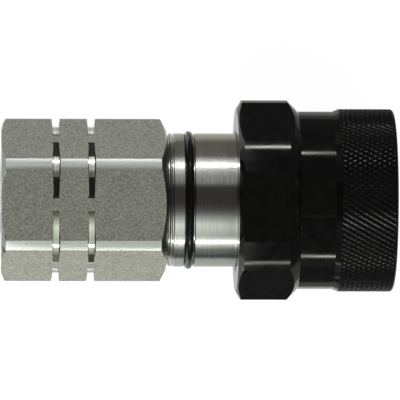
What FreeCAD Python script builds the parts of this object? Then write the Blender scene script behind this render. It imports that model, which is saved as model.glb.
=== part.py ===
# Screw-to-connect flat face hydraulic coupler: the half that carries the union sleeve.
#
# The coupler's axis is X. The port face is at X = 0 and +X points to the mating end. +Z is up and is square
# to one flat of both hexagons. All lengths are in millimetres.
#
# How it works: the hexagonal port adaptor screws on to the front body and clamps the spider that holds the
# fixed valve stem. The spring keeps the valve sleeve on the seat behind the stem's head, flush with the flat
# face. The mating nose pushes the valve sleeve back and oil passes round the stem's head. The union sleeve
# turns on a thrust ring behind the front body's flange, and slides back over the neck to bare the flat face.

import FreeCAD, Part
import math
import os

# Running and assembly clearances
slide_clearance = 0.05
thread_clearance = 0.03
seal_clearance = 0.08
ring_clearance = 0.1
lip_clearance = 0.2
seat_gap = 0.05
stop_gap = 0.05

# Port adaptor: hexagon with its corners turned down; a rise is measured outwards from the flats
adaptor_flats = 32.0
adaptor_corner_rise = 1.8
adaptor_length = 36.5
adaptor_rear_rise = 0.2
adaptor_rear_chamfer = 0.92
adaptor_front_chamfer = 1.8
mark_groove_rise = 0.07
mark_groove_top = 1.75
mark_groove_floor = 1.26
mark_groove_first = 11.87
mark_groove_pitch = 7.69

# Port: half inch parallel pipe thread, drawn at its minor diameter
port_thread_dia = 18.63
port_depth = 14.0
port_mouth_flare = 1.335
port_mouth_chamfer = 1.3
passage_dia = 17.0
passage_length = 3.5

# Threaded joint between the adaptor and the front body
spigot_dia = 26.0
spigot_lead = 0.6
joint_groove_width = 3.2
joint_groove_depth = 1.6
joint_groove_land = 2.1
joint_backup_width = 1.2

# Front body
face_place = 75.0
neck_dia = 29.2
neck_rear_round = 0.4
neck_line_place = 0.4
neck_line_top = 0.6
neck_line_floor = 0.2
neck_line_depth = 0.15
flange_height = 1.4
flange_length = 17.4
flange_edge = 0.6
body_bore_dia = 24.5
spring_chamber = 30.0
body_rear_bore_dia = 19.0

# O-ring on the neck
neck_ring_section = 1.78
neck_ring_proud = 0.5
neck_ring_place = 4.45
neck_groove_play = 0.25
neck_groove_edge = 0.18

# Interface seal in the front body's bore
interface_groove_width = 4.0
interface_groove_depth = 2.1
interface_land = 2.0
interface_backup_width = 1.3

# Spider that holds the stem
spider_seat_step = 0.9
spider_bore_dia = 18.4
spider_thickness = 3.0
spider_hub_dia = 9.2
spider_arm_width = 2.8
spider_arms = 3

# Valve stem, its washer and its nut
stem_head_dia = 17.1
stem_head_length = 3.8
stem_seat_depth = 0.9
stem_tail_length = 5.5
stem_tail_round = 5.5
stem_shaft_dia = 8.0
stem_thread_dia = 6.0
stem_thread_lead = 0.5
stem_tip = 0.4
washer_thickness = 0.6
washer_dia = 9.6
nut_flats = 9.0
nut_thickness = 1.9
nut_corner_rise = 0.5

# Seal on the stem's head
poppet_groove_width = 2.0
poppet_groove_land = 0.9
poppet_ring_depth = 1.2
poppet_ring_width = 1.9
energiser_section = 1.2

# Valve sleeve
valve_length = 13.0
valve_lip_clearance = 0.1
valve_throat_step = 0.85
valve_throat_length = 0.9
valve_flare_length = 2.2
valve_bore_dia = 19.8
valve_edge = 0.3

# Valve spring
spring_wire = 1.6
spring_turns = 4.25
spring_side_gap = 0.15

# Union sleeve
sleeve_length = 34.5
sleeve_flats = 41.0
sleeve_corner_rise = 1.38
sleeve_rear_drop = 0.42
sleeve_rear_chamfer = 1.1
sleeve_hex_end = 11.1
sleeve_hex_chamfer = 2.4
sleeve_collar_wall = 3.1
sleeve_collar_length = 12.22
sleeve_collar_slope = 1.26
sleeve_waist_step = 0.52
sleeve_front_round = 0.9
sleeve_lip_length = 4.6
sleeve_lip_lead = 0.5

# Coupling thread: 36 by 2, drawn at its minor diameter
coupling_thread_dia = 33.8
coupling_thread_length = 9.6
coupling_mouth_chamfer = 1.1
coupling_relief_width = 2.2
coupling_relief_depth = 1.3

# Thrust ring and the snap ring that keeps it in the union sleeve
thrust_ring_thickness = 1.55
thrust_ring_overhang = 1.0
snap_ring_thickness = 1.1
snap_ring_seat = 0.9
snap_ring_gap = 5.0

# Places along the axis, from the port face
spider_rear = port_depth + passage_length
spigot_end = spider_rear + spider_thickness
chamber_end = face_place - spring_chamber
flange_rear = face_place - flange_length
valve_rear = face_place - valve_length
head_rear = face_place - stem_head_length
thrust_front = flange_rear - stop_gap
lip_front = thrust_front - thrust_ring_thickness
sleeve_rear = lip_front - sleeve_lip_length
sleeve_front = sleeve_rear + sleeve_length
neck_ring_centre = adaptor_length + neck_ring_place
joint_groove_front = adaptor_length - joint_groove_land
joint_groove_rear = joint_groove_front - joint_groove_width
interface_groove_front = face_place - interface_land
interface_groove_rear = interface_groove_front - interface_groove_width
poppet_groove_front = face_place - poppet_groove_land
poppet_groove_rear = poppet_groove_front - poppet_groove_width

# Radii shared by pieces that fit each other
adaptor_corner_radius = adaptor_flats / 2 + adaptor_corner_rise
port_radius = port_thread_dia / 2
spigot_radius = spigot_dia / 2
spider_radius = spigot_radius - spider_seat_step
adaptor_bore_radius = spigot_radius + thread_clearance
joint_floor_radius = spigot_radius - joint_groove_depth
neck_radius = neck_dia / 2
neck_ring_radius = neck_radius + neck_ring_proud
neck_floor_radius = neck_ring_radius - neck_ring_section
flange_radius = neck_radius + flange_height
thrust_ring_radius = flange_radius + thrust_ring_overhang
sleeve_bore_radius = thrust_ring_radius + ring_clearance
snap_ring_radius = sleeve_bore_radius + snap_ring_seat
body_bore_radius = body_bore_dia / 2
valve_radius = body_bore_radius - slide_clearance
interface_floor_radius = body_bore_radius + interface_groove_depth
head_radius = stem_head_dia / 2
lip_bore_radius = head_radius + valve_lip_clearance
throat_radius = head_radius - valve_throat_step
poppet_ring_radius = lip_bore_radius - slide_clearance
poppet_ring_inner = poppet_ring_radius - poppet_ring_depth
poppet_floor_radius = poppet_ring_inner - energiser_section
stem_hole_radius = stem_thread_dia / 2 + thread_clearance

along_axis = FreeCAD.Vector(1, 0, 0)
origin = FreeCAD.Vector(0, 0, 0)

# Corners of an outline closer than this are one point
same_point = 1e-6


def at(x, radius):
    """A point of an outline: a place along the axis and a distance above it."""
    return FreeCAD.Vector(x, 0, radius)


def corner_arc(before, corner, after, radius):
    """The two tangent points and the middle of an arc that rounds a corner of an outline."""
    back = (before - corner).normalize()
    ahead = (after - corner).normalize()
    half_angle = back.getAngle(ahead) / 2
    reach = radius / math.tan(half_angle)
    middle = (back + ahead).normalize()
    depth = radius / math.sin(half_angle) - radius
    return corner + back * reach, corner + middle * depth, corner + ahead * reach


def turned(outline):
    """Revolves an outline about X. A corner is (place, radius), and a third value is its rounding radius."""
    corners = [at(corner[0], corner[1]) for corner in outline]
    edges = []
    starts = []
    ends = []
    for index, corner in enumerate(outline):
        here = corners[index]
        if len(corner) == 2:
            starts.append(here)
            ends.append(here)
            continue
        following = corners[(index + 1) % len(corners)]
        first, middle, last = corner_arc(corners[index - 1], here, following, corner[2])
        edges.append(Part.Arc(first, middle, last).toShape())
        starts.append(first)
        ends.append(last)
    for index, start in enumerate(ends):
        end = starts[(index + 1) % len(starts)]
        if not start.isEqual(end, same_point):
            edges.append(Part.LineSegment(start, end).toShape())
    wire = Part.Wire(Part.__sortEdges__(edges))
    return Part.Face(wire).revolve(origin, along_axis, 360)


def ring(rear, front, inner, outer):
    """A plain turned ring."""
    return turned([(rear, inner), (rear, outer), (front, outer), (front, inner)])


def o_ring(centre, floor_radius, section):
    """A round-section seal ring that lies on the floor of its groove."""
    middle_radius = floor_radius + section / 2
    return Part.makeTorus(middle_radius, section / 2, FreeCAD.Vector(centre, 0, 0), along_axis)


def hexagon(rear, front, flats):
    """A hexagonal prism along X with two of its flats facing up and down."""
    corner_radius = flats / 2 / math.cos(math.radians(30))
    corners = []
    for step in range(6):
        angle = math.radians(60 * step)
        corners.append(FreeCAD.Vector(rear, corner_radius * math.cos(angle), corner_radius * math.sin(angle)))
    outline = Part.makePolygon(corners + corners[:1])
    return Part.Face(outline).extrude(along_axis * (front - rear))


def mill_flats(turned_piece, rear, front, flats, corner_radius):
    """Mills six flats on the stretch of a turned piece between two places."""
    stock_radius = corner_radius + flats / 2
    stock = Part.makeCylinder(stock_radius, front - rear, along_axis * rear, along_axis)
    waste = stock.cut(hexagon(rear, front, flats))
    return turned_piece.cut(waste)


def sloped_groove(centre, top_width, floor_width, top_radius, floor_radius):
    """The four corners of a turned groove with sloping walls."""
    return [
        (centre - top_width / 2, top_radius),
        (centre - floor_width / 2, floor_radius),
        (centre + floor_width / 2, floor_radius),
        (centre + top_width / 2, top_radius),
    ]


def mark_groove(centre):
    """A groove in the adaptor's hexagon, down to just above its flats."""
    floor_radius = adaptor_flats / 2 + mark_groove_rise
    return sloped_groove(centre, mark_groove_top, mark_groove_floor, adaptor_corner_radius, floor_radius)


def make_port_adaptor():
    """Hexagon with two turned grooves, the port thread at the rear and the joint's thread at the front."""
    passage_radius = passage_dia / 2
    seat_radius = spider_radius + slide_clearance
    outline = [
        (0, port_radius + port_mouth_flare),
        (0, adaptor_flats / 2 + adaptor_rear_rise),
        (adaptor_rear_chamfer, adaptor_corner_radius),
    ]
    outline += mark_groove(mark_groove_first)
    outline += mark_groove(mark_groove_first + mark_groove_pitch)
    outline += [
        (adaptor_length - adaptor_front_chamfer, adaptor_corner_radius),
        (adaptor_length, neck_radius),
        (adaptor_length, adaptor_bore_radius),
        (spigot_end, adaptor_bore_radius),
        (spigot_end, seat_radius),
        (spider_rear, seat_radius),
        (spider_rear, passage_radius),
        (port_depth, passage_radius),
        (port_depth, port_radius),
        (port_mouth_chamfer, port_radius),
    ]
    return mill_flats(turned(outline), 0, adaptor_length, adaptor_flats, adaptor_corner_radius)


def make_front_body():
    """Spigot, neck with a turned line and an O-ring groove, and the flange with the flat mating face."""
    line_centre = adaptor_length + neck_rear_round + neck_line_place
    line_radius = neck_radius - neck_line_depth
    groove_rear = neck_ring_centre - neck_ring_section / 2 - seal_clearance
    groove_front = groove_rear + neck_ring_section + neck_groove_play
    groove_edge_radius = neck_radius - neck_groove_edge
    rear_bore_radius = body_rear_bore_dia / 2
    outline = [
        (spigot_end, rear_bore_radius),
        (spigot_end, spigot_radius - spigot_lead),
        (spigot_end + spigot_lead, spigot_radius),
        (joint_groove_rear, spigot_radius),
        (joint_groove_rear, joint_floor_radius),
        (joint_groove_front, joint_floor_radius),
        (joint_groove_front, spigot_radius),
        (adaptor_length, spigot_radius),
        (adaptor_length, neck_radius, neck_rear_round),
    ]
    outline += sloped_groove(line_centre, neck_line_top, neck_line_floor, neck_radius, line_radius)
    outline += [
        (groove_rear - neck_groove_edge, neck_radius),
        (groove_rear, groove_edge_radius),
        (groove_rear, neck_floor_radius),
        (groove_front, neck_floor_radius),
        (groove_front, groove_edge_radius),
        (groove_front + neck_groove_edge, neck_radius),
        (flange_rear, neck_radius),
        (flange_rear, flange_radius),
        (face_place - flange_edge, flange_radius),
        (face_place, flange_radius - flange_edge),
        (face_place, body_bore_radius),
        (interface_groove_front, body_bore_radius),
        (interface_groove_front, interface_floor_radius),
        (interface_groove_rear, interface_floor_radius),
        (interface_groove_rear, body_bore_radius),
        (chamber_end, body_bore_radius),
        (chamber_end, rear_bore_radius),
    ]
    return turned(outline)


def make_neck_o_ring():
    """Bumper ring on the neck that the thrust ring meets when the union sleeve is slid back."""
    return o_ring(neck_ring_centre, neck_floor_radius, neck_ring_section)


def make_joint_o_ring():
    """Seal of the threaded joint, on the pressure side of its backup ring."""
    section = adaptor_bore_radius - joint_floor_radius
    centre = joint_groove_rear + (joint_groove_width - joint_backup_width) / 2
    return o_ring(centre, joint_floor_radius, section)


def make_joint_backup_ring():
    """Ring that stops the joint's seal from being pressed out of its groove."""
    rear = joint_groove_front - joint_backup_width
    return ring(rear, joint_groove_front, joint_floor_radius, adaptor_bore_radius - thread_clearance)


def make_interface_o_ring():
    """Seal round the valve sleeve, and round the mating nose once connected."""
    section = interface_groove_depth + slide_clearance - seal_clearance
    centre = interface_groove_rear + (interface_groove_width - interface_backup_width) / 2
    return o_ring(centre, interface_floor_radius - section, section)


def make_interface_backup_ring():
    """Ring in front of the interface seal."""
    rear = interface_groove_front - interface_backup_width
    inner = valve_radius + seal_clearance
    return ring(rear, interface_groove_front, inner, interface_floor_radius)


def make_stem_spider():
    """Rim, arms and hub, clamped between the adaptor and the front body's spigot."""
    rear_centre = along_axis * spider_rear
    bore_radius = spider_bore_dia / 2
    rim = ring(spider_rear, spigot_end, bore_radius, spider_radius)
    hub = Part.makeCylinder(spider_hub_dia / 2, spider_thickness, rear_centre, along_axis)
    arm_end = (bore_radius + spider_radius) / 2
    pieces = [hub]
    for step in range(spider_arms):
        corner = FreeCAD.Vector(spider_rear, -spider_arm_width / 2, 0)
        arm = Part.makeBox(spider_thickness, spider_arm_width, arm_end, corner)
        arm.rotate(origin, along_axis, 360 * step / spider_arms)
        pieces.append(arm)
    spider = rim.fuse(pieces).removeSplitter()
    hole = Part.makeCylinder(stem_hole_radius, spider_thickness, rear_centre, along_axis)
    return spider.cut(hole)


def make_valve_stem():
    """Fixed stem: threaded end, shaft, streamlined tail, and the head that lies flush with the flat face."""
    thread_radius = stem_thread_dia / 2
    shaft_radius = stem_shaft_dia / 2
    thread_end = spider_rear - washer_thickness - nut_thickness - stem_tip
    seat_rear = head_rear - stem_seat_depth
    outline = [
        (thread_end, 0),
        (thread_end, thread_radius - stem_thread_lead),
        (thread_end + stem_thread_lead, thread_radius),
        (spigot_end, thread_radius),
        (spigot_end, shaft_radius),
        (seat_rear - stem_tail_length, shaft_radius, stem_tail_round),
        (seat_rear, head_radius - stem_seat_depth),
        (head_rear, head_radius),
        (poppet_groove_rear, head_radius),
        (poppet_groove_rear, poppet_floor_radius),
        (poppet_groove_front, poppet_floor_radius),
        (poppet_groove_front, head_radius),
        (face_place, head_radius),
        (face_place, 0),
    ]
    return turned(outline)


def make_stem_lock_washer():
    """Washer between the spider and the stem's nut."""
    return ring(spider_rear - washer_thickness, spider_rear, stem_hole_radius, washer_dia / 2)


def make_stem_nut():
    """Low nut that draws the stem's shoulder on to the spider, with chamfered corners."""
    front = spider_rear - washer_thickness
    rear = front - nut_thickness
    corner_radius = nut_flats / 2 + nut_corner_rise
    blank = turned([
        (rear, stem_hole_radius),
        (rear, nut_flats / 2),
        (rear + nut_corner_rise, corner_radius),
        (front, corner_radius),
        (front, stem_hole_radius),
    ])
    return mill_flats(blank, rear, front, nut_flats, corner_radius)


def make_poppet_energiser_ring():
    """Rubber ring under the sliding seal on the stem's head."""
    centre = poppet_groove_front - poppet_ring_width / 2
    return o_ring(centre, poppet_floor_radius, energiser_section)


def make_poppet_seal_ring():
    """Sliding seal on the stem's head, inside the valve sleeve's lip."""
    rear = poppet_groove_front - poppet_ring_width
    return ring(rear, poppet_groove_front, poppet_ring_inner, poppet_ring_radius)


def make_valve_sleeve():
    """Sliding sleeve that shuts the ring-shaped gap round the stem's head."""
    bore_radius = valve_bore_dia / 2
    seat_start = head_rear - seat_gap
    throat_front = seat_start - valve_throat_step
    throat_rear = throat_front - valve_throat_length
    outline = [
        (valve_rear, bore_radius),
        (valve_rear, valve_radius - valve_edge),
        (valve_rear + valve_edge, valve_radius),
        (face_place - valve_edge, valve_radius),
        (face_place, valve_radius - valve_edge),
        (face_place, lip_bore_radius),
        (seat_start + valve_lip_clearance, lip_bore_radius),
        (throat_front, throat_radius),
        (throat_rear, throat_radius),
        (throat_rear - valve_flare_length, bore_radius),
    ]
    return turned(outline)


def make_valve_spring():
    """Compression spring with flat ground ends, between the front body and the valve sleeve."""
    mean_radius = body_bore_radius - spring_side_gap - spring_wire / 2
    length = valve_rear - chamber_end
    helix = Part.makeHelix(length / spring_turns, length, mean_radius)
    start = FreeCAD.Vector(mean_radius, 0, 0)
    heading = FreeCAD.Vector(0, 2 * math.pi * mean_radius * spring_turns, length)
    section = Part.Wire(Part.makeCircle(spring_wire / 2, start, heading))
    coil = Part.Wire(helix.Edges).makePipeShell([section], True, True)
    coil.rotate(origin, FreeCAD.Vector(0, 1, 0), 90)
    coil.translate(along_axis * chamber_end)
    between_seats = Part.makeCylinder(body_bore_radius, length, along_axis * chamber_end, along_axis)
    return coil.common(between_seats)


def make_union_sleeve():
    """Turned sleeve: hexagon at the rear, plain waist, gripping collar, and the coupling thread inside."""
    corner_radius = sleeve_flats / 2 + sleeve_corner_rise
    thread_radius = coupling_thread_dia / 2
    collar_radius = thread_radius + sleeve_collar_wall
    waist_radius = collar_radius - sleeve_waist_step
    lip_radius = neck_ring_radius + lip_clearance
    relief_radius = thread_radius + coupling_relief_depth
    snap_floor_radius = snap_ring_radius + slide_clearance
    hex_end = sleeve_rear + sleeve_hex_end
    waist_rear = hex_end + sleeve_hex_chamfer
    collar_rear = sleeve_front - sleeve_collar_length
    snap_front = flange_rear + snap_ring_thickness + slide_clearance
    thread_front = sleeve_front - coupling_mouth_chamfer
    thread_rear = thread_front - coupling_thread_length
    relief_rear = thread_rear - coupling_relief_width
    outline = [
        (sleeve_rear, lip_radius + sleeve_lip_lead),
        (sleeve_rear, sleeve_flats / 2 - sleeve_rear_drop),
        (sleeve_rear + sleeve_rear_chamfer, corner_radius),
        (hex_end, corner_radius),
        (waist_rear, waist_radius),
        (collar_rear - sleeve_collar_slope, waist_radius),
        (collar_rear, collar_radius),
        (sleeve_front, collar_radius, sleeve_front_round),
        (sleeve_front, thread_radius + coupling_mouth_chamfer),
        (thread_front, thread_radius),
        (thread_rear, thread_radius),
        (thread_rear, relief_radius),
        (relief_rear, relief_radius),
        (relief_rear, sleeve_bore_radius),
        (snap_front, sleeve_bore_radius),
        (snap_front, snap_floor_radius),
        (flange_rear, snap_floor_radius),
        (flange_rear, sleeve_bore_radius),
        (lip_front, sleeve_bore_radius),
        (lip_front, lip_radius),
        (sleeve_rear + sleeve_lip_lead, lip_radius),
    ]
    return mill_flats(turned(outline), sleeve_rear, waist_rear, sleeve_flats, corner_radius)


def make_sleeve_thrust_ring():
    """Hard bearing ring between the union sleeve's lip and the flange."""
    return ring(lip_front, thrust_front, neck_radius + ring_clearance, thrust_ring_radius)


def make_sleeve_snap_ring():
    """Open ring in the union sleeve's groove that keeps the thrust ring in place."""
    front = flange_rear + snap_ring_thickness
    hoop = ring(flange_rear, front, flange_radius + lip_clearance, snap_ring_radius)
    corner = FreeCAD.Vector(flange_rear, -snap_ring_gap / 2, 0)
    opening = Part.makeBox(snap_ring_thickness, snap_ring_gap, 2 * snap_ring_radius, corner)
    return hoop.cut(opening)


makers = {
    "port_adaptor": make_port_adaptor,
    "front_body": make_front_body,
    "neck_o_ring": make_neck_o_ring,
    "joint_o_ring": make_joint_o_ring,
    "joint_backup_ring": make_joint_backup_ring,
    "interface_o_ring": make_interface_o_ring,
    "interface_backup_ring": make_interface_backup_ring,
    "stem_spider": make_stem_spider,
    "valve_stem": make_valve_stem,
    "stem_lock_washer": make_stem_lock_washer,
    "stem_nut": make_stem_nut,
    "poppet_energiser_ring": make_poppet_energiser_ring,
    "poppet_seal_ring": make_poppet_seal_ring,
    "valve_sleeve": make_valve_sleeve,
    "valve_spring": make_valve_spring,
    "union_sleeve": make_union_sleeve,
    "sleeve_thrust_ring": make_sleeve_thrust_ring,
    "sleeve_snap_ring": make_sleeve_snap_ring,
}

os.makedirs("parts", exist_ok=True)
for name, make in makers.items():
    make().exportStep("parts/" + name + ".step")
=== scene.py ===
# Looks of the flat face hydraulic coupler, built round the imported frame.
#
# The coupler's axis is X, with the port at X = 0 and the mating end towards +X. +Z is up. Sizes of the
# pieces are in millimetres, with angles in degrees from +Y towards +Z. Meshes and the studio are in metres.

import math

import bmesh
import bpy
from mathutils import Matrix, Vector


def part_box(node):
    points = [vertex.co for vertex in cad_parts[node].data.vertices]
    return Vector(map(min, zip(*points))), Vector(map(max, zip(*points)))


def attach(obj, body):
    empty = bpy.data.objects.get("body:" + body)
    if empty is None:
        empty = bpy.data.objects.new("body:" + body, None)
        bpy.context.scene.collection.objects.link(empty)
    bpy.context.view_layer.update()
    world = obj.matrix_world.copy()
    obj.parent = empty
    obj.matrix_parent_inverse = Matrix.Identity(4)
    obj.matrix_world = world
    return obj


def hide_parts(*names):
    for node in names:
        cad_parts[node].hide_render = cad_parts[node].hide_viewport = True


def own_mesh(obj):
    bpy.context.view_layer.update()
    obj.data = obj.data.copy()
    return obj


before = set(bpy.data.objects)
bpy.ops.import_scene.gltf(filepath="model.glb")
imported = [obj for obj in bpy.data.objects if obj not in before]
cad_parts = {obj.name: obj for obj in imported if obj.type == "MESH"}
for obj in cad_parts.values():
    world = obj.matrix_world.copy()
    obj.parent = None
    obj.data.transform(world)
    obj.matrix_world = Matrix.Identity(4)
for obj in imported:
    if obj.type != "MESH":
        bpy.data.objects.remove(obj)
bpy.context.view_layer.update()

MM = 0.001
TURN = 360.0
FLAT_PITCH = 60.0
FLATS = 6
MERGE_DISTANCE = 0.0000008
SHARP_ANGLE = math.radians(15.0)
ALONG_AXIS = Vector((1.0, 0.0, 0.0))

# Noise lies mostly between these values
NOISE_LOW = 0.3
NOISE_HIGH = 0.7

adaptor_low, adaptor_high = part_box("port_adaptor")
sleeve_low, sleeve_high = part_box("union_sleeve")
spring_low, spring_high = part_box("valve_spring")

# Port adaptor
adaptor_columns = 144
adaptor_rear = adaptor_low.x / MM
adaptor_front = adaptor_high.x / MM
adaptor_flats = 32.0
adaptor_corner_radius = 17.8
adaptor_rear_radius = 16.2
adaptor_rear_chamfer = 0.92
adaptor_front_chamfer = 1.8
adaptor_front_radius = 14.6
joint_relief_width = 0.5
joint_relief_foot = 0.13
joint_relief_edge_radius = 14.8
joint_relief_radius = 14.12
mark_groove_places = (11.87, 19.56)
mark_groove_top = 1.75
mark_groove_floor = 1.26
mark_groove_radius = 16.07
port_depth = 14.0
port_crest_radius = 9.315
port_root_radius = 10.4775
port_pitch = 1.814
port_mouth_radius = 10.65
port_mouth_chamfer = 1.3
passage_radius = 8.5
passage_end = 17.5
spider_seat_radius = 12.15
spigot_start = 20.5
spigot_radius = 13.03

# How near a face has to come to a flat, a groove or a corner to count as part of it
flat_slack = MERGE_DISTANCE * 4.0
flat_facing = 0.9999
groove_share = 0.98
corner_share = 0.995
corner_lean = 0.01

# Union sleeve
sleeve_columns = 228
sleeve_rear = sleeve_low.x / MM
sleeve_front = sleeve_high.x / MM
sleeve_flats = 41.0
sleeve_corner_radius = sleeve_high.y / MM
sleeve_rear_radius = 20.08
sleeve_rear_chamfer = 1.1
sleeve_hexagon_end = 62.5
sleeve_hexagon_chamfer = 2.4
sleeve_waist_radius = 19.48
sleeve_collar_radius = 20.0
sleeve_collar_cone = 72.42
sleeve_front_round = 0.9
sleeve_lip_radius = 15.3
sleeve_lip_lead = 0.5
sleeve_lip_end = 56.0
sleeve_bore_radius = 17.1
snap_groove_start = 57.6
snap_groove_end = 58.75
snap_groove_radius = 18.05
sleeve_bore_end = 73.0
sleeve_relief_radius = 18.2
sleeve_thread_start = 75.2
sleeve_crest_radius = 16.9
sleeve_root_radius = 17.98
sleeve_thread_pitch = 2.0
sleeve_mouth_radius = 18.0
sleeve_mouth_chamfer = 1.1

# Knurl on the collar: crossing grooves that leave rows of blunt diamonds
knurl_helices = 100
knurl_columns = 1000
knurl_pitch = 2.13
knurl_rows_a_pitch = 10
knurl_start = 73.68
knurl_wall_share = 0.6
knurl_wall_depth = 0.15
knurl_crown_depth = 0.02
knurl_cross_share = 0.26
knurl_front_steps = 8

# Inside thread form, as (share of the pitch, share of the depth)
thread_form = (
    (0.0, 0.0),
    (0.14, 0.0),
    (0.23, 0.25),
    (0.32, 0.5),
    (0.41, 0.75),
    (0.5, 1.0),
    (0.64, 1.0),
    (0.73, 0.75),
    (0.82, 0.5),
    (0.91, 0.25),
)

# Valve spring
spring_wire_radius = 0.8
spring_mean_radius = 11.3
spring_turns = 4.25
spring_turn_steps = 64
spring_section_steps = 20

# Floor
floor_height = -0.02052
floor_reach = 6.0
floor_grey = 0.18
floor_glow = 0.92

# Camera, with its lean in degrees
camera_distance = 1.42
camera_view_width = 0.0876
camera_target = Vector((0.0436, 0.0, 0.0))
camera_towards_port = 2.4
camera_towards_side = 4.0
camera_roll = -0.29
camera_clip_start = 0.05
camera_clip_end = 50.0
sensor_width = 36.0


# Turned shapes


def placed(x, radius, angle):
    """The point at X, at a radius and an angle round the axis, in metres."""
    turn = math.radians(angle)
    return Vector((x * MM, radius * math.cos(turn) * MM, radius * math.sin(turn) * MM))


def flat_limit(angle, flats):
    """The radius at which a hexagon's flat lies at this angle."""
    from_middle = (angle % FLAT_PITCH) - FLAT_PITCH / 2.0
    return flats / 2.0 / math.cos(math.radians(from_middle))


def even_angles(count):
    """The angles of count columns, with the first repeated a turn later."""
    return [TURN * step / count for step in range(count + 1)]


def hexagon_angles(count, flats, corner_radius):
    """Even angles, with the nearest one moved to each edge between a flat and a blunted corner."""
    angles = even_angles(count)
    edge = math.degrees(math.acos(flats / 2.0 / corner_radius))
    for flat in range(FLATS):
        middle = FLAT_PITCH * (flat + 0.5)
        for place in (middle - edge, middle + edge):
            angles[round(place * count / TURN)] = place
    return angles


def clipped(outline, limit):
    """An outline's corners held to a limit radius.

    Each line gives one corner more, so that all columns have as many: where it crosses the limit, or else
    its start again.
    """
    corners = []
    for (x, radius), (next_x, next_radius) in zip(outline, outline[1:]):
        corners.append((x, min(radius, limit)))
        if (radius - limit) * (next_radius - limit) < 0.0:
            share = (limit - radius) / (next_radius - radius)
            corners.append((x + share * (next_x - x), limit))
        else:
            corners.append((x, min(radius, limit)))
    last_x, last_radius = outline[-1]
    corners.append((last_x, min(last_radius, limit)))
    return corners


def radius_at(points, place):
    """The radius of a line of points at a place along X."""
    for (x, radius), (next_x, next_radius) in zip(points, points[1:]):
        if x <= place <= next_x:
            share = (place - x) / (next_x - x)
            return radius + share * (next_radius - radius)
    return points[-1][1]


def thread_column(angle, start, end, pitch, crest_radius, root_radius):
    """One column of an inside thread from start to end, its helix advanced by the angle.

    It is drawn with a turn more at either end, and the points beyond an end are held to it.
    """
    turns = math.ceil((end - start) / pitch)
    points = []
    for turn in range(-1, turns + 1):
        for share, depth in thread_form:
            x = start + (turn + share + angle / TURN) * pitch
            points.append((x, crest_radius + depth * (root_radius - crest_radius)))
    start_radius = radius_at(points, start)
    end_radius = radius_at(points, end)
    held = []
    for x, radius in points:
        if x < start:
            held.append((start, start_radius))
        elif x > end:
            held.append((end, end_radius))
        else:
            held.append((x, radius))
    return held


def rings_of(columns):
    """Turns columns of corners into rings of corners."""
    return [list(ring) for ring in zip(*columns)]


def join_even(shell, ring, after, fall):
    """Faces between two rings of the same count; with fall given, cut along the lower diagonal."""
    for index in range(len(ring) - 1):
        face = (ring[index], after[index], after[index + 1], ring[index + 1])
        if fall is None:
            shell.faces.new(face)
        elif fall[0][index] + fall[1][index + 1] <= fall[1][index] + fall[0][index + 1]:
            shell.faces.new((face[0], face[1], face[2]))
            shell.faces.new((face[0], face[2], face[3]))
        else:
            shell.faces.new((face[0], face[1], face[3]))
            shell.faces.new((face[1], face[2], face[3]))


def join_uneven(shell, ring, after, ring_angles, after_angles):
    """Triangles between two rings of different counts, taken in order of angle."""
    first = 0
    second = 0
    while first < len(ring) - 1 or second < len(after) - 1:
        step_first = second == len(after) - 1
        if first < len(ring) - 1 and not step_first:
            step_first = ring_angles[first + 1] <= after_angles[second + 1]
        if step_first:
            shell.faces.new((ring[first], after[second], ring[first + 1]))
            first += 1
        else:
            shell.faces.new((ring[first], after[second], after[second + 1]))
            second += 1


def skin(name, rings, split=range(0)):
    """A closed mesh over rings of (x, radius, angle) that run once round a section.

    Each ring goes from angle 0 to a full turn. The faces after the split rings are cut along the diagonal
    that lies lower.
    """
    shell = bmesh.new()
    grid = [[shell.verts.new(placed(*corner)) for corner in ring] for ring in rings]
    for index, ring in enumerate(grid):
        following = (index + 1) % len(grid)
        after = grid[following]
        corners = rings[index]
        after_corners = rings[following]
        if len(ring) == len(after):
            fall = None
            if index in split:
                fall = ([corner[1] for corner in corners], [corner[1] for corner in after_corners])
            join_even(shell, ring, after, fall)
        else:
            ring_angles = [corner[2] for corner in corners]
            after_angles = [corner[2] for corner in after_corners]
            join_uneven(shell, ring, after, ring_angles, after_angles)
    bmesh.ops.remove_doubles(shell, verts=shell.verts, dist=MERGE_DISTANCE)
    bmesh.ops.dissolve_degenerate(shell, edges=shell.edges, dist=MERGE_DISTANCE)
    bmesh.ops.recalc_face_normals(shell, faces=shell.faces)
    return finished_mesh(name, shell)


def finished_mesh(name, shell):
    """An object from a bmesh, smooth between its sharp edges."""
    mesh = bpy.data.meshes.new(name)
    shell.to_mesh(mesh)
    shell.free()
    for face in mesh.polygons:
        face.use_smooth = True
    mesh.set_sharp_from_angle(angle=SHARP_ANGLE)
    piece = bpy.data.objects.new(name, mesh)
    bpy.context.scene.collection.objects.link(piece)
    return piece


# Faces with a finish of their own


def from_axis(face):
    """How far a face's middle lies from the axis, in millimetres."""
    return math.hypot(face.center.y, face.center.z) / MM


def on_adaptor_flat(face):
    """Whether a face lies on one of the adaptor's flats."""
    reach = adaptor_flats / 2.0 * MM
    for flat in range(FLATS):
        turn = math.radians(FLAT_PITCH * (flat + 0.5))
        outwards = Vector((0.0, math.cos(turn), math.sin(turn)))
        level = abs(face.center.dot(outwards) - reach) < flat_slack
        if level and face.normal.dot(outwards) > flat_facing:
            return True
    return False


def in_mark_groove(face):
    """Whether a face belongs to one of the adaptor's marking grooves."""
    if from_axis(face) <= mark_groove_radius * groove_share:
        return False
    half = mark_groove_top / 2.0
    return any(abs(face.center.x / MM - place) < half for place in mark_groove_places)


def on_adaptor_corner(face):
    """Whether a face belongs to one of the adaptor's blunted corners."""
    outside = from_axis(face) > adaptor_corner_radius * corner_share
    return outside and abs(face.normal.x) < corner_lean


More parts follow.
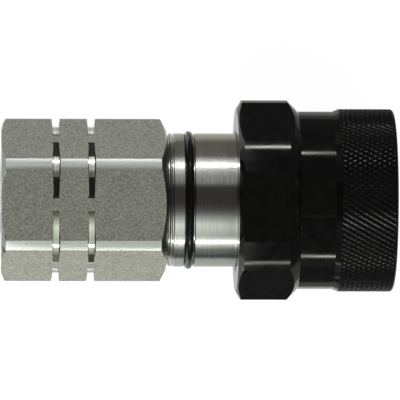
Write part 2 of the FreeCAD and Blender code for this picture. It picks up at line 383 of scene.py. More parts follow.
def on_knurl(face):
    """Whether a face belongs to the sleeve's knurl."""
    return from_axis(face) > sleeve_waist_radius and face.center.x / MM > knurl_start


def dress(piece, materials, finish, patches=()):
    """Gives a piece its finish, and other finishes to the faces that the tests of its patches pick out."""
    piece.data.materials.append(materials[finish])
    for patch_finish, belongs in patches:
        index = len(piece.data.materials)
        piece.data.materials.append(materials[patch_finish])
        for face in piece.data.polygons:
            if not face.material_index and belongs(face):
                face.material_index = index


# Materials


def set_stops(node, stops):
    """Sets the stops of a colour ramp, as (place, colour)."""
    elements = node.color_ramp.elements
    while len(elements) < len(stops):
        elements.new(0.5)
    for element, (place, colour) in zip(elements, stops):
        element.position = place
        element.color = (*colour, 1.0)


class Shading:
    """Short ways to add and join the nodes of one material, with places in millimetres."""

    def __init__(self, name, **values):
        self.material = bpy.data.materials.new(name)
        self.material.use_nodes = True
        self.tree = self.material.node_tree
        self.shader = self.tree.nodes["Principled BSDF"]
        for key, value in values.items():
            self.shader.inputs[key.replace("_", " ")].default_value = value
        coordinates = self.add("ShaderNodeTexCoord")
        scaled = self.add("ShaderNodeVectorMath", operation="SCALE")
        scaled.inputs["Scale"].default_value = 1.0 / MM
        self.join(coordinates.outputs["Object"], scaled.inputs[0])
        self.place = scaled.outputs[0]

    def add(self, kind, **settings):
        """Adds a node with its settings."""
        node = self.tree.nodes.new(kind)
        for key, value in settings.items():
            setattr(node, key, value)
        return node

    def join(self, output, socket):
        """Joins a node's output to another's input."""
        self.tree.links.new(output, socket)

    def stretched(self, place, factors):
        """A place with each axis multiplied."""
        node = self.add("ShaderNodeVectorMath", operation="MULTIPLY")
        self.join(place, node.inputs[0])
        node.inputs[1].default_value = factors
        return node.outputs[0]

    def round_axis(self, close, slow):
        """Places for lines round a piece: quick along the axis and out from it, slow across it."""
        parts = self.add("ShaderNodeSeparateXYZ")
        self.join(self.place, parts.inputs[0])
        radius = self.add("ShaderNodeVectorMath", operation="LENGTH")
        self.join(self.stretched(self.place, (0.0, 1.0, 1.0)), radius.inputs[0])
        joined = self.add("ShaderNodeCombineXYZ")
        self.join(parts.outputs["X"], joined.inputs["X"])
        self.join(radius.outputs["Value"], joined.inputs["Y"])
        self.join(parts.outputs["Y"], joined.inputs["Z"])
        return self.stretched(joined.outputs[0], (close, close, slow))

    def noise(self, place, scale=1.0, detail=2.0, roughness=0.5):
        """Noise at a place."""
        node = self.add("ShaderNodeTexNoise")
        self.join(place, node.inputs["Vector"])
        node.inputs["Scale"].default_value = scale
        node.inputs["Detail"].default_value = detail
        node.inputs["Roughness"].default_value = roughness
        return node.outputs["Fac"]

    def ramp(self, value, stops):
        """Colours by a value, as (place, colour) stops."""
        node = self.add("ShaderNodeValToRGB")
        set_stops(node, stops)
        self.join(value, node.inputs["Fac"])
        return node.outputs["Color"]

    def tone(self, noise, dark, light):
        """A colour from dark to light by a noise."""
        return self.ramp(noise, ((NOISE_LOW, dark), (NOISE_HIGH, light)))

    def mixed(self, first, second, share):
        """Two colours mixed by a fixed share of the second."""
        node = self.add("ShaderNodeMix", data_type="RGBA")
        node.inputs["Factor"].default_value = share
        self.join(first, node.inputs["A"])
        self.join(second, node.inputs["B"])
        return node.outputs["Result"]

    def set_colour(self, colour):
        """Uses a colour for the surface."""
        self.join(colour, self.shader.inputs["Base Color"])

    def set_roughness(self, noise, smooth, rough):
        """Makes the surface smooth to rough by a noise."""
        node = self.add("ShaderNodeMapRange")
        node.inputs["From Min"].default_value = NOISE_LOW
        node.inputs["From Max"].default_value = NOISE_HIGH
        node.inputs["To Min"].default_value = smooth
        node.inputs["To Max"].default_value = rough
        self.join(noise, node.inputs["Value"])
        self.join(node.outputs[0], self.shader.inputs["Roughness"])

    def bump(self, height, depth, strength=1.0, under=None):
        """Adds a relief of this depth in millimetres, over any under it, and returns its normal."""
        node = self.add("ShaderNodeBump")
        node.inputs["Strength"].default_value = strength
        node.inputs["Distance"].default_value = depth * MM
        self.join(height, node.inputs["Height"])
        if under is not None:
            self.join(under, node.inputs["Normal"])
        self.join(node.outputs[0], self.shader.inputs["Normal"])
        return node.outputs[0]


def make_grainy_zinc():
    """Matt zinc plate on the hexagon's flats: salt-and-pepper grain over faint clouds."""
    paint = Shading("grainy_zinc", Metallic=0.25)
    grain = paint.noise(paint.place, scale=2.45, detail=3.0, roughness=0.55)
    clouds = paint.noise(paint.place, scale=0.22, detail=3.0)
    dark = (0.105, 0.107, 0.088)
    middle = (0.25, 0.253, 0.212)
    light = (0.43, 0.435, 0.385)
    fine = paint.ramp(grain, ((0.32, dark), (0.5, middle), (0.7, light)))
    broad = paint.tone(clouds, dark=(0.222, 0.225, 0.188), light=(0.284, 0.288, 0.248))
    paint.set_colour(paint.mixed(fine, broad, share=0.3))
    paint.set_roughness(grain, smooth=0.6, rough=0.75)
    paint.bump(grain, depth=0.05, strength=0.6)
    return paint.material


def make_turned_zinc():
    """Zinc plate over turned faces: close lines round the axis."""
    paint = Shading("turned_zinc", Metallic=1.0)
    lines = paint.noise(paint.round_axis(close=9.0, slow=0.035), detail=3.0, roughness=0.6)
    clouds = paint.noise(paint.place, scale=0.6, detail=3.0)
    fine = paint.tone(lines, dark=(0.46, 0.47, 0.42), light=(0.64, 0.65, 0.60))
    broad = paint.tone(clouds, dark=(0.50, 0.51, 0.45), light=(0.60, 0.61, 0.56))
    paint.set_colour(paint.mixed(fine, broad, share=0.5))
    paint.set_roughness(clouds, smooth=0.13, rough=0.2)
    paint.bump(lines, depth=0.002, strength=0.2)
    return paint.material


def make_drawn_zinc():
    """Smooth zinc plate on the hexagon's blunted corners: faint streaks along the bar."""
    paint = Shading("drawn_zinc", Metallic=1.0)
    streaks = paint.noise(paint.stretched(paint.place, (0.05, 2.5, 2.5)))
    paint.set_colour(paint.tone(streaks, dark=(0.51, 0.53, 0.505), light=(0.58, 0.60, 0.575)))
    paint.set_roughness(streaks, smooth=0.115, rough=0.15)
    paint.bump(streaks, depth=0.0015, strength=0.2)
    return paint.material


def make_groove_zinc():
    """Finely turned zinc down in the marking grooves."""
    paint = Shading("groove_zinc", Metallic=1.0)
    lines = paint.noise(paint.round_axis(close=7.0, slow=0.05), detail=3.0, roughness=0.6)
    paint.set_colour(paint.tone(lines, dark=(0.43, 0.43, 0.36), light=(0.66, 0.66, 0.585)))
    paint.set_roughness(lines, smooth=0.05, rough=0.09)
    paint.bump(lines, depth=0.01, strength=0.4)
    return paint.material


def make_bright_steel():
    """Fine turned bright steel: close lines round the axis and soft streaks."""
    paint = Shading("bright_steel", Metallic=1.0)
    lines = paint.noise(paint.round_axis(close=14.0, slow=0.03), detail=4.0, roughness=0.65)
    streaks = paint.noise(paint.round_axis(close=2.4, slow=0.02), detail=3.0, roughness=0.6)
    fine = paint.tone(lines, dark=(0.52, 0.52, 0.50), light=(0.70, 0.70, 0.68))
    broad = paint.tone(streaks, dark=(0.54, 0.54, 0.52), light=(0.68, 0.68, 0.66))
    paint.set_colour(paint.mixed(fine, broad, share=0.5))
    paint.set_roughness(streaks, smooth=0.09, rough=0.27)
    paint.bump(lines, depth=0.004, strength=0.35)
    return paint.material


def black_plate(name, gloss, dark, light, smooth, rough):
    """Black plate on steel: deep black with slight waves, faint turning lines and worn gloss."""
    paint = Shading(name, Specular_IOR_Level=gloss)
    lines = paint.noise(paint.round_axis(close=8.0, slow=0.04), detail=3.0, roughness=0.6)
    clouds = paint.noise(paint.place, scale=0.5, detail=4.0, roughness=0.6)
    blue_share = 0.96
    paint.set_colour(paint.tone(clouds, dark=(dark, dark, dark), light=(light, light, light * blue_share)))
    paint.set_roughness(clouds, smooth, rough)
    waves = paint.noise(paint.place, scale=0.13, detail=1.0)
    wavy = paint.bump(waves, depth=0.03)
    paint.bump(lines, depth=0.004, strength=0.3, under=wavy)
    return paint.material


def make_black_steel():
    """Glossy black plate on the sleeve's plain faces."""
    return black_plate("black_steel", gloss=0.5, dark=0.0025, light=0.0045, smooth=0.06, rough=0.11)


def make_black_knurl():
    """Duller black plate on the knurl."""
    return black_plate("black_knurl", gloss=0.35, dark=0.003, light=0.0045, smooth=0.14, rough=0.19)


def make_nitrile():
    """Black rubber: smooth with a fine uneven sheen."""
    paint = Shading("nitrile", Specular_IOR_Level=0.45)
    grain = paint.noise(paint.place, scale=2.5, detail=4.0, roughness=0.6)
    paint.set_colour(paint.tone(grain, dark=(0.003, 0.003, 0.003), light=(0.006, 0.006, 0.0055)))
    paint.set_roughness(grain, smooth=0.1, rough=0.16)
    paint.bump(grain, depth=0.004, strength=0.3)
    return paint.material


def make_ptfe():
    """White seal plastic: matt, with faint turning lines."""
    paint = Shading("ptfe")
    lines = paint.noise(paint.round_axis(close=6.0, slow=0.03), detail=3.0)
    paint.set_colour(paint.tone(lines, dark=(0.74, 0.73, 0.69), light=(0.82, 0.81, 0.77)))
    paint.set_roughness(lines, smooth=0.45, rough=0.6)
    paint.bump(lines, depth=0.01, strength=0.3)
    return paint.material


def make_spring_steel():
    """Drawn spring wire: dark grey with fine scratches."""
    paint = Shading("spring_steel", Metallic=1.0)
    marks = paint.noise(paint.stretched(paint.place, (3.0, 1.0, 1.0)), scale=1.6, detail=4.0, roughness=0.7)
    paint.set_colour(paint.tone(marks, dark=(0.30, 0.30, 0.31), light=(0.46, 0.46, 0.47)))
    paint.set_roughness(marks, smooth=0.25, rough=0.38)
    paint.bump(marks, depth=0.006, strength=0.3)
    return paint.material


def make_bronze():
    """Turned bronze."""
    paint = Shading("bronze", Metallic=1.0)
    lines = paint.noise(paint.round_axis(close=8.0, slow=0.035), detail=3.0, roughness=0.6)
    paint.set_colour(paint.tone(lines, dark=(0.50, 0.32, 0.14), light=(0.66, 0.45, 0.22)))
    paint.set_roughness(lines, smooth=0.24, rough=0.36)
    paint.bump(lines, depth=0.008, strength=0.4)
    return paint.material


def make_materials():
    """All finishes by name."""
    return {
        "grainy_zinc": make_grainy_zinc(),
        "turned_zinc": make_turned_zinc(),
        "drawn_zinc": make_drawn_zinc(),
        "groove_zinc": make_groove_zinc(),
        "bright_steel": make_bright_steel(),
        "black_steel": make_black_steel(),
        "black_knurl": make_black_knurl(),
        "nitrile": make_nitrile(),
        "ptfe": make_ptfe(),
        "spring_steel": make_spring_steel(),
        "bronze": make_bronze(),
    }


# Pieces


def adaptor_outline():
    """The adaptor's outside from the port face to the neck, before its flats are milled."""
    slope = (mark_groove_top - mark_groove_floor) / 2.0
    half = mark_groove_top / 2.0
    corners = [
        (adaptor_rear, adaptor_rear_radius),
        (adaptor_rear + adaptor_rear_chamfer, adaptor_corner_radius),
    ]
    for place in mark_groove_places:
        corners.append((place - half, adaptor_corner_radius))
        corners.append((place - half + slope, mark_groove_radius))
        corners.append((place + half - slope, mark_groove_radius))
        corners.append((place + half, adaptor_corner_radius))
    chamfer_start = adaptor_front - adaptor_front_chamfer
    relief_start = adaptor_front - joint_relief_width
    chamfer_slope = (adaptor_corner_radius - adaptor_front_radius) / adaptor_front_chamfer
    corners.append((chamfer_start, adaptor_corner_radius))
    corners.append((relief_start, adaptor_front_radius + joint_relief_width * chamfer_slope))
    corners.append((relief_start, joint_relief_edge_radius))
    corners.append((adaptor_front - joint_relief_foot, joint_relief_radius))
    corners.append((adaptor_front, joint_relief_radius))
    return corners


def port_column(angle):
    """The threaded port from its bottom to its mouth."""
    points = thread_column(angle, adaptor_rear, port_depth, port_pitch, port_crest_radius, port_root_radius)
    flare = (port_mouth_radius - port_crest_radius) / port_mouth_chamfer
    cut = []
    for x, radius in reversed(points):
        run_out = min(1.0, (port_depth - x) / port_pitch)
        threaded = port_crest_radius + (radius - port_crest_radius) * run_out
        chamfer = port_mouth_radius - (x - adaptor_rear) * flare
        cut.append((x, max(threaded, chamfer)))
    return cut


def make_port_adaptor(materials):
    """Hexagonal adaptor with blunted corners, two marking grooves and a threaded port."""
    outline = adaptor_outline()
    inside = (
        (adaptor_front, spigot_radius),
        (spigot_start, spigot_radius),
        (spigot_start, spider_seat_radius),
        (passage_end, spider_seat_radius),
        (passage_end, passage_radius),
        (port_depth, passage_radius),
    )
    columns = []
    for angle in hexagon_angles(adaptor_columns, adaptor_flats, adaptor_corner_radius):
        corners = clipped(outline, flat_limit(angle, adaptor_flats))
        corners.extend(inside)
        corners.extend(port_column(angle))
        columns.append([(x, radius, angle) for x, radius in corners])
    piece = skin("port_adaptor_dressed", rings_of(columns))
    patches = (
        ("grainy_zinc", on_adaptor_flat),
        ("groove_zinc", in_mark_groove),
        ("drawn_zinc", on_adaptor_corner),
    )
    dress(piece, materials, "turned_zinc", patches)
    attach(piece, "coupler_body")
    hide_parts("port_adaptor")


def front_round_radius(x):
    """The collar's turned radius at X, round at its front edge."""
    into = x - (sleeve_front - sleeve_front_round)
    if into <= 0.0:
        return sleeve_collar_radius
    drop = sleeve_front_round - math.sqrt(max(0.0, sleeve_front_round ** 2 - into ** 2))
    return sleeve_collar_radius - drop


def knurl_cut(x, angle):
    """How deep the knurl is cut: crowned diamonds between deep grooves and shallower crossing ones."""
    along = (x - knurl_start) / knurl_pitch
    around = angle / TURN * knurl_helices
    cuts = []
    for line, depth_share in ((around - along, 1.0), (around + along, knurl_cross_share)):
        from_crown = abs((line % 1.0) * 2.0 - 1.0)
        wall = max(0.0, 1.0 - (1.0 - from_crown) / knurl_wall_share)
        cuts.append(depth_share * (knurl_wall_depth * wall + knurl_crown_depth * from_crown ** 2))
    return max(cuts)


def knurl_rows():
    """The places of the knurl's rows, closer together over the front round."""
    round_start = sleeve_front - sleeve_front_round
    count = math.floor((round_start - knurl_start) / knurl_pitch * knurl_rows_a_pitch)
    rows = [knurl_start + knurl_pitch * step / knurl_rows_a_pitch for step in range(count + 1)]
    for step in range(1, knurl_front_steps + 1):
        turn = math.pi / 2.0 * step / knurl_front_steps
        rows.append(round_start + sleeve_front_round * math.sin(turn))
    return rows


def knurl_column(rows, angle):
    """One column of the knurl from the cone to the front face."""
    corners = []
    for x in rows:
        radius = sleeve_collar_radius - knurl_cut(x, angle)
        corners.append((x, min(radius, front_round_radius(x)), angle))
    return corners


def sleeve_inside(angle):
    """The sleeve's inside from its mouth back to its rear lip."""
    thread = thread_column(
        angle,
        sleeve_thread_start,
        sleeve_front,
        sleeve_thread_pitch,
        sleeve_crest_radius,
        sleeve_root_radius,
    )
    flare = (sleeve_mouth_radius - sleeve_crest_radius) / sleeve_mouth_chamfer
    points = []
    for x, radius in reversed(thread):
        chamfer = sleeve_mouth_radius - (sleeve_front - x) * flare
        points.append((x, max(radius, chamfer)))
    points.extend((
        (sleeve_thread_start, sleeve_relief_radius),
        (sleeve_bore_end, sleeve_relief_radius),
        (sleeve_bore_end, sleeve_bore_radius),
        (snap_groove_end, sleeve_bore_radius),
        (snap_groove_end, snap_groove_radius),
        (snap_groove_start, snap_groove_radius),
        (snap_groove_start, sleeve_bore_radius),
        (sleeve_lip_end, sleeve_bore_radius),
        (sleeve_lip_end, sleeve_lip_radius),
        (sleeve_rear + sleeve_lip_lead, sleeve_lip_radius),
        (sleeve_rear, sleeve_lip_radius + sleeve_lip_lead),
    ))
    return points


def make_union_sleeve(materials):
    """Union sleeve: hexagon, plain waist, knurled collar and coupling thread."""
    hexagon = (
        (sleeve_rear, sleeve_rear_radius),
        (sleeve_rear + sleeve_rear_chamfer, sleeve_corner_radius),
        (sleeve_hexagon_end, sleeve_corner_radius),
        (sleeve_hexagon_end + sleeve_hexagon_chamfer, sleeve_waist_radius),
    )
    cone_start = (sleeve_collar_cone, sleeve_waist_radius)
    cone_end = (knurl_start, sleeve_collar_radius)
    even = even_angles(sleeve_columns)
    edged = hexagon_angles(sleeve_columns, sleeve_flats, sleeve_corner_radius)
    outside = []
    inside = []
    for angle, hexagon_angle in zip(even, edged):
        corners = clipped(hexagon, flat_limit(hexagon_angle, sleeve_flats))
        corners = [(x, radius, hexagon_angle) for x, radius in corners]
        corners.extend((x, radius, angle) for x, radius in (cone_start, cone_end))
        outside.append(corners)
        inside.append([(x, radius, angle) for x, radius in sleeve_inside(angle)])
    rows = knurl_rows()
    knurl = [knurl_column(rows, angle) for angle in even_angles(knurl_columns)]
    rings = rings_of(outside)
    knurl_first = len(rings)
    rings.extend(rings_of(knurl))
    knurl_last = len(rings) - 1
    rings.extend(rings_of(inside))
    piece = skin("union_sleeve_dressed", rings, range(knurl_first, knurl_last))
    dress(piece, materials, "black_steel", (("black_knurl", on_knurl),))
    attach(piece, "union_sleeve")
    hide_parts("union_sleeve")


def make_valve_spring(materials):
    """Helical spring with ground ends."""
    rear = spring_low.x / MM
    front = spring_high.x / MM
    climb = (front - rear - spring_wire_radius) / spring_turns
    shell = bmesh.new()
    rings = []
    for step in range(int(spring_turns * spring_turn_steps) + 1):
        turn = step / spring_turn_steps
        middle = rear + spring_wire_radius / 2.0 + climb * turn
        ring = []
        for corner in range(spring_section_steps):
            around = 2.0 * math.pi * corner / spring_section_steps
            x = middle + spring_wire_radius * math.cos(around)
            radius = spring_mean_radius + spring_wire_radius * math.sin(around)
            ring.append(shell.verts.new(placed(min(max(x, rear), front), radius, turn * TURN)))
        rings.append(ring)
    for ring, following in zip(rings, rings[1:]):
        for corner in range(spring_section_steps):
            after = (corner + 1) % spring_section_steps
            shell.faces.new((ring[corner], ring[after], following[after], following[corner]))
    shell.faces.new(rings[0])
    shell.faces.new(rings[-1])
    bmesh.ops.remove_doubles(shell, verts=shell.verts, dist=MERGE_DISTANCE)
    bmesh.ops.recalc_face_normals(shell, faces=shell.faces)
    piece = finished_mesh("valve_spring_dressed", shell)
    dress(piece, materials, "spring_steel")
    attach(piece, "coupler_body")
    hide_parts("valve_spring")
    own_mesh(piece)


def dress_nodes(materials):
    """Gives the carried-over CAD nodes their materials."""
    names_by_finish = {
        "bright_steel": (
            "front_body",
            "stem_spider",
            "valve_stem",
            "stem_lock_washer",
            "stem_nut",
            "valve_sleeve",
        ),
        "nitrile": ("neck_o_ring", "joint_o_ring", "poppet_energiser_ring", "interface_o_ring"),
        "ptfe": ("joint_backup_ring", "poppet_seal_ring", "interface_backup_ring"),
        "spring_steel": ("sleeve_snap_ring",),
        "bronze": ("sleeve_thrust_ring",),
    }
    for finish, names in names_by_finish.items():
        for name in names:
            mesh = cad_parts[name].data
            mesh.materials.clear()
            mesh.materials.append(materials[finish])


# Studio


def panel(name, corners, material):
    """A rectangle through four corners."""
    mesh = bpy.data.meshes.new(name)
    mesh.from_pydata(corners, [], [(0, 1, 2, 3)])
    mesh.materials.append(material)
    holder = bpy.data.objects.new(name, mesh)
    bpy.context.scene.collection.objects.link(holder)
    return holder


def make_floor():
    """A plain white floor that keeps the object's shadow."""
    material = bpy.data.materials.new("floor_white")
    material.use_nodes = True
    tree = material.node_tree
    tree.nodes.clear()
    output = tree.nodes.new("ShaderNodeOutputMaterial")
    paint = tree.nodes.new("ShaderNodeBsdfDiffuse")
    paint.inputs["Color"].default_value = (floor_grey, floor_grey, floor_grey, 1.0)
    rays = tree.nodes.new("ShaderNodeLightPath")
    seen = rays.outputs["Is Camera Ray"]
    for ray in ("Is Glossy Ray", "Is Transmission Ray"):
        either = tree.nodes.new("ShaderNodeMath")
        either.operation = "MAXIMUM"
        tree.links.new(seen, either.inputs[0])
        tree.links.new(rays.outputs[ray], either.inputs[1])
        seen = either.outputs[0]
    level = tree.nodes.new("ShaderNodeMath")
    level.operation = "MULTIPLY"
    level.inputs[1].default_value = floor_glow
    tree.links.new(seen, level.inputs[0])
    glow = tree.nodes.new("ShaderNodeEmission")
    tree.links.new(level.outputs[0], glow.inputs["Strength"])
    both = tree.nodes.new("ShaderNodeAddShader")
    tree.links.new(paint.outputs[0], both.inputs[0])
    tree.links.new(glow.outputs[0], both.inputs[1])
    tree.links.new(both.outputs[0], output.inputs["Surface"])
    half = floor_reach / 2.0
    edges = ((-half, -half), (half, -half), (half, half), (-half, half))
    floor = panel("floor", [(x, y, floor_height) for x, y in edges], material)


# Tints of the studio's light
white_light = (1.0, 1.0, 1.0)
plain_light = (1.0, 1.0, 0.98)
warm_light = (1.03, 0.98, 0.88)
cool_light = (0.97, 1.0, 1.01)
green_light = (0.96, 1.03, 0.95)
olive_light = (1.03, 1.03, 0.86)
cream_light = (1.0, 0.99, 0.87)

# World light by angle from overhead, towards +Y positive, as (angle, level, tint)
world_levels = (
    (-180.0, 0.30, plain_light),
    (-92.0, 0.20, plain_light),
    (-84.0, 0.68, green_light),
    (-76.0, 1.00, green_light),
    (-60.0, 0.72, green_light),
    (-50.0, 0.98, green_light),
    (-40.0, 1.22, green_light),
    (-32.0, 0.79, green_light),
    (-21.0, 0.28, plain_light),
    (-14.0, 0.048, warm_light),
    (28.5, 0.048, warm_light),
    (32.5, 0.48, plain_light),
    (37.0, 0.58, plain_light),
    (46.0, 0.55, cool_light),
    (58.0, 0.88, cool_light),
    (74.0, 1.05, cool_light),
    (83.0, 0.33, plain_light),
    (90.0, 0.12, plain_light),
    (180.0, 0.30, plain_light),
)

# Share of that light by the way it comes along X, from -1 at the port end to 1 at the mating end
world_shares = ((-1.0, 0.1), (-0.25, 0.1), (-0.12, 1.0), (0.12, 1.0), (0.5, 0.9), (0.85, 0.3), (1.0, 0.2))


def make_world():
    """Soft studio walls: dark overhead, pale to the sides, dimmer towards both ends."""
    world = bpy.data.worlds.new("studio")
    bpy.context.scene.world = world
    world.use_nodes = True
    tree = world.node_tree
    background = tree.nodes["Background"]
    coordinates = tree.nodes.new("ShaderNodeTexCoord")
    parts = tree.nodes.new("ShaderNodeSeparateXYZ")
    tree.links.new(coordinates.outputs["Generated"], parts.inputs[0])
    lean = tree.nodes.new("ShaderNodeMath")
    lean.operation = "ARCTAN2"
    tree.links.new(parts.outputs["Y"], lean.inputs[0])
    tree.links.new(parts.outputs["Z"], lean.inputs[1])
    share = tree.nodes.new("ShaderNodeMapRange")
    share.inputs["From Min"].default_value = -math.pi
    share.inputs["From Max"].default_value = math.pi
    tree.links.new(lean.outputs[0], share.inputs["Value"])
    walls = tree.nodes.new("ShaderNodeValToRGB")
    wall_stops = []
    for angle, level, tint in world_levels:
        wall_stops.append((angle / TURN + 0.5, [level * part for part in tint]))
    set_stops(walls, wall_stops)
    tree.links.new(share.outputs[0], walls.inputs["Fac"])
    along = tree.nodes.new("ShaderNodeMapRange")
    along.inputs["From Min"].default_value = -1.0
    tree.links.new(parts.outputs["X"], along.inputs["Value"])
    ends = tree.nodes.new("ShaderNodeValToRGB")
    set_stops(ends, [((way + 1.0) / 2.0, (level, level, level)) for way, level in world_shares])
    tree.links.new(along.outputs[0], ends.inputs["Fac"])
    tree.links.new(walls.outputs["Color"], background.inputs["Color"])
    tree.links.new(ends.outputs["Color"], background.inputs["Strength"])


def area_lamp(name, lean, centre, distance, size, radiance, tint):
    """A rectangular lamp that faces the axis at a centre along X, from an angle off overhead."""
    turn = math.radians(lean)
    outwards = Vector((0.0, math.sin(turn), math.cos(turn)))
    length, width = size
    lamp = bpy.data.lights.new(name, "AREA")
    lamp.shape = "RECTANGLE"
    lamp.size = length
    lamp.size_y = width
    lamp.color = tint
    lamp.energy = radiance * math.pi * length * width
    holder = bpy.data.objects.new(name, lamp)
    facing = Matrix((ALONG_AXIS, outwards.cross(ALONG_AXIS), outwards)).transposed().to_4x4()
    facing.translation = ALONG_AXIS * centre + outwards * distance
    holder.matrix_world = facing
    bpy.context.scene.collection.objects.link(holder)
    return holder


# How far the strip lamps reach along X
port_reach = (-0.02, -0.002)
rear_reach = (-0.002, 0.022)
hexagon_reach = (0.022, 0.0475)
neck_reach = (0.0475, 0.0668)
sleeve_reach = (0.0668, 0.0822)
collar_reach = (0.0822, 0.112)

# Strip lamps, as (name, angle from overhead, reach along X, width, radiance, tint)
strip_distance = 0.3
strip_width = 0.018
port_strip_width = 0.1
sleeve_strip_width = 0.0135
far_lean = 65.3
far_sleeve_lean = 65.9
far_collar_lean = 66.0
port_lean = -68.0
near_lean = -72.0
near_sleeve_lean = -70.1
near_collar_lean = -71.8
strips = (
    ("strip_far_rear", far_lean, rear_reach, strip_width, 7.0, plain_light),
    ("strip_far_hexagon", far_lean, hexagon_reach, strip_width, 10.5, plain_light),
    ("strip_far_neck", far_lean, neck_reach, strip_width, 5.6, plain_light),
    ("strip_far_sleeve", far_sleeve_lean, sleeve_reach, sleeve_strip_width, 14.0, cream_light),
    ("strip_far_collar", far_collar_lean, collar_reach, sleeve_strip_width, 2.9, cream_light),
    ("strip_near_port", port_lean, port_reach, port_strip_width, 5.3, plain_light),
    ("strip_near_rear", near_lean, rear_reach, strip_width, 7.0, plain_light),
    ("strip_near_hexagon", near_lean, hexagon_reach, strip_width, 9.5, plain_light),
    ("strip_near_neck", near_lean, neck_reach, strip_width, 5.6, plain_light),
    ("strip_near_sleeve", near_sleeve_lean, sleeve_reach, sleeve_strip_width, 2.8, cream_light),
    ("strip_near_collar", near_collar_lean, collar_reach, sleeve_strip_width, 8.6, cream_light),
)


def make_strips():
    """Narrow lamps in a row along either side, and a broad one beyond the port."""
    for name, lean, (start, end), width, radiance, tint in strips:
        centre = (start + end) / 2.0
        area_lamp(name, lean, centre, strip_distance, (end - start, width), radiance, tint)


# Soft lamps beside the coupler, as (name, angle from overhead, radiance)
soft_distance = 1.2
soft_size = (0.9, 0.6)
soft_centre = 0.043
soft_lamps = (
    ("soft_far", 72.0, 6.9),
    ("soft_near", -72.0, 12.3),
)


def make_soft_lamps():
    """Broad lamps that light the matt faces at a plain level and leave the mirrored studio as it is."""
    for name, lean, radiance in soft_lamps:
        holder = area_lamp(name, lean, soft_centre, soft_distance, soft_size, radiance, white_light)
        holder.visible_glossy = False


# Where the cards round the coupler stand, as their first and last edge at (Y, Z)
card_lift = 0.001
card_foot = floor_height + card_lift
far_edge = ((0.0115, card_foot), (0.0225, card_foot))
far_foot = ((0.0225, card_foot), (0.034, card_foot))
far_floor = ((0.034, card_foot), (0.044, card_foot))
far_wall = ((0.044, card_foot), (0.065, 0.017))
far_tall_wall = ((0.05, card_foot), (0.065, 0.027))
near_edge = ((-0.0115, card_foot), (-0.0225, card_foot))
near_foot = ((-0.0225, card_foot), (-0.034, card_foot))
near_strip = ((-0.025, card_foot), (-0.034, card_foot))
near_middle = ((-0.034, card_foot), (-0.052, card_foot))
near_outer = ((-0.052, card_foot), (-0.068, card_foot))
near_floor = ((-0.034, card_foot), (-0.068, card_foot))
near_wall = ((-0.068, card_foot), (-0.075, 0.0105))
neck_floor = ((-0.034, card_foot), (-0.065, card_foot))
neck_wall = ((-0.065, card_foot), (-0.0715, -0.005))
neck_top_wall = ((-0.0715, -0.005), (-0.075, 0.0105))
rear_floor = ((0.036, card_foot), (-0.042, card_foot))
ahead_floor = ((0.12, card_foot), (-0.2, card_foot))

# How far the cards stretch along X
rear_stretch = (-0.08, -0.02)
rear_foot_stretch = (-0.035, 0.004)
hexagon_stretch = (-0.21, 0.038)
first_groove_stretch = (-0.21, 0.018)
second_groove_stretch = (0.018, 0.038)
groove_foot_stretch = (0.004, 0.038)
neck_stretch = (0.038, 0.0538)
sleeve_stretch = (0.0538, 0.29)
waist_stretch = (0.0538, 0.077)
collar_stretch = (0.077, 0.29)
ahead_stretch = (0.3, 1.2)

# Cards, as (name, stretch, edges, level, tint if not plain)
side_cards = (
    ("card_rear", rear_stretch, rear_floor, 0.5),
    ("card_hexagon_foot", rear_foot_stretch, far_foot, 0.2),
    ("card_groove_foot", groove_foot_stretch, far_foot, 0.62),
    ("card_groove_near_foot", groove_foot_stretch, near_strip, 0.62),
    ("card_hexagon_far", hexagon_stretch, far_tall_wall, 0.045),
    ("card_hexagon_near_foot", rear_foot_stretch, near_strip, 0.2),
    ("card_hexagon_floor", hexagon_stretch, near_floor, 1.2),
    ("card_hexagon_near", first_groove_stretch, near_wall, 0.24),
    ("card_hexagon_near_front", second_groove_stretch, near_wall, 0.09),
    ("card_neck_edge", neck_stretch, far_edge, 0.65),
    ("card_neck_foot", neck_stretch, far_foot, 0.43, olive_light),
    ("card_neck_far_floor", neck_stretch, far_floor, 0.3, olive_light),
    ("card_neck_far", neck_stretch, far_wall, 0.14, olive_light),
    ("card_neck_near_edge", neck_stretch, near_edge, 0.65),
    ("card_neck_near_foot", neck_stretch, near_foot, 0.55, green_light),
    ("card_neck_floor", neck_stretch, neck_floor, 0.52, green_light),
    ("card_neck_near", neck_stretch, neck_wall, 0.08, green_light),
    ("card_neck_near_top", neck_stretch, neck_top_wall, 0.19, green_light),
    ("card_sleeve_foot", waist_stretch, far_foot, 0.36),
    ("card_sleeve_far_floor", waist_stretch, far_floor, 0.18),
    ("card_collar_foot", collar_stretch, far_foot, 0.24),
    ("card_collar_far_floor", collar_stretch, far_floor, 0.1),
    ("card_sleeve_far", sleeve_stretch, far_wall, 0.05),
    ("card_sleeve_near_foot", sleeve_stretch, near_foot, 0.8),
    ("card_sleeve_middle", sleeve_stretch, near_middle, 0.25),
    ("card_sleeve_outer", sleeve_stretch, near_outer, 0.04),
    ("card_sleeve_near", sleeve_stretch, near_wall, 0.03),
    ("card_ahead", ahead_stretch, ahead_floor, 0.05),
)

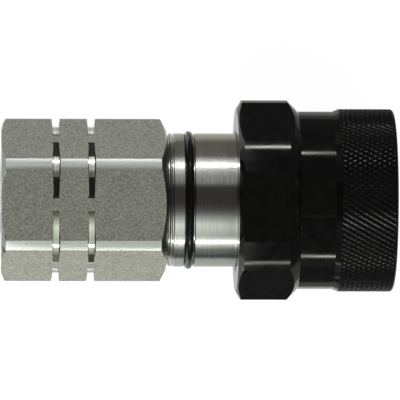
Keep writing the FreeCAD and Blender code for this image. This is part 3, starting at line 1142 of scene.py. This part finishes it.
# Flags over the coupler, as (name, stretch, first and last angle from overhead, level, tint if not plain)
flag_distance = 0.25
hexagon_sky = (0.003, 0.0465)
sleeve_sky = (0.0635, 0.5)
collar_sky = (0.125, 0.5)
gap_sky = (0.0635, 0.0785)
flags = (
    ("flag_hexagon", hexagon_sky, 6.0, 39.0, 0.02),
    ("flag_hexagon_low", hexagon_sky, 39.0, 45.5, 0.2, warm_light),
    ("flag_hexagon_side", hexagon_sky, 45.5, 49.8, 0.3, warm_light),
    ("flag_hexagon_edge", hexagon_sky, 49.8, 57.0, 0.66),
    ("flag_hexagon_top", hexagon_sky, 57.0, 62.4, 1.1, cool_light),
    ("flag_hexagon_near", hexagon_sky, -10.0, -17.5, 0.21),
    ("flag_sleeve_far", sleeve_sky, 28.0, 62.4, 0.035),
    ("flag_sleeve_far_low", sleeve_sky, 68.5, 89.0, 0.06),
    ("flag_sleeve_near", sleeve_sky, -17.0, -67.5, 0.035),
    ("flag_sleeve_near_gap", gap_sky, -72.4, -74.6, 0.04),
    ("flag_sleeve_near_low", sleeve_sky, -74.6, -90.0, 0.1),
    ("flag_collar_far", collar_sky, 62.4, 68.5, 0.05),
    ("flag_collar_near", collar_sky, -67.5, -74.6, 0.05),
)


def reflected_card(name, stretch, edges, level, tint=plain_light):
    """A card that only shows in polished metal: the camera and the other light pass it by."""
    material = bpy.data.materials.new(name)
    material.use_nodes = True
    tree = material.node_tree
    tree.nodes.clear()
    output = tree.nodes.new("ShaderNodeOutputMaterial")
    glow = tree.nodes.new("ShaderNodeEmission")
    glow.inputs["Color"].default_value = (*tint, 1.0)
    glow.inputs["Strength"].default_value = level
    tree.links.new(glow.outputs[0], output.inputs["Surface"])
    start, end = stretch
    first, last = edges
    card = panel(name, [(start, *first), (end, *first), (end, *last), (start, *last)], material)
    card.visible_camera = False
    card.visible_diffuse = False
    card.visible_shadow = False


def make_cards():
    """Cards low round the coupler and flags over it, which only its polished faces mirror."""
    for card in side_cards:
        reflected_card(*card)
    for name, stretch, first_angle, last_angle, *light in flags:
        edges = []
        for angle in (first_angle, last_angle):
            turn = math.radians(angle)
            edges.append((flag_distance * math.sin(turn), flag_distance * math.cos(turn)))
        reflected_card(name, stretch, edges, *light)


def make_camera():
    """A long lens above the coupler, a little towards the port and towards +Y."""
    camera = bpy.data.cameras.new("camera")
    camera.sensor_width = sensor_width
    camera.lens = sensor_width * camera_distance / camera_view_width
    camera.clip_start = camera_clip_start
    camera.clip_end = camera_clip_end
    holder = bpy.data.objects.new("camera", camera)
    towards = Vector((
        -math.tan(math.radians(camera_towards_port)),
        math.tan(math.radians(camera_towards_side)),
        1.0,
    )).normalized()
    roll = math.radians(camera_roll)
    up = Vector((math.sin(roll), math.cos(roll), 0.0))
    up = (up - towards * up.dot(towards)).normalized()
    facing = Matrix((up.cross(towards), up, towards)).transposed().to_4x4()
    facing.translation = camera_target + towards * camera_distance
    holder.matrix_world = facing
    bpy.context.scene.collection.objects.link(holder)
    bpy.context.scene.camera = holder


all_materials = make_materials()
make_port_adaptor(all_materials)
make_union_sleeve(all_materials)
make_valve_spring(all_materials)
dress_nodes(all_materials)
make_floor()
make_world()
make_strips()
make_soft_lamps()
make_cards()
make_camera()
bpy.context.scene.view_settings.view_transform = "Standard"

bpy.context.view_layer.update()
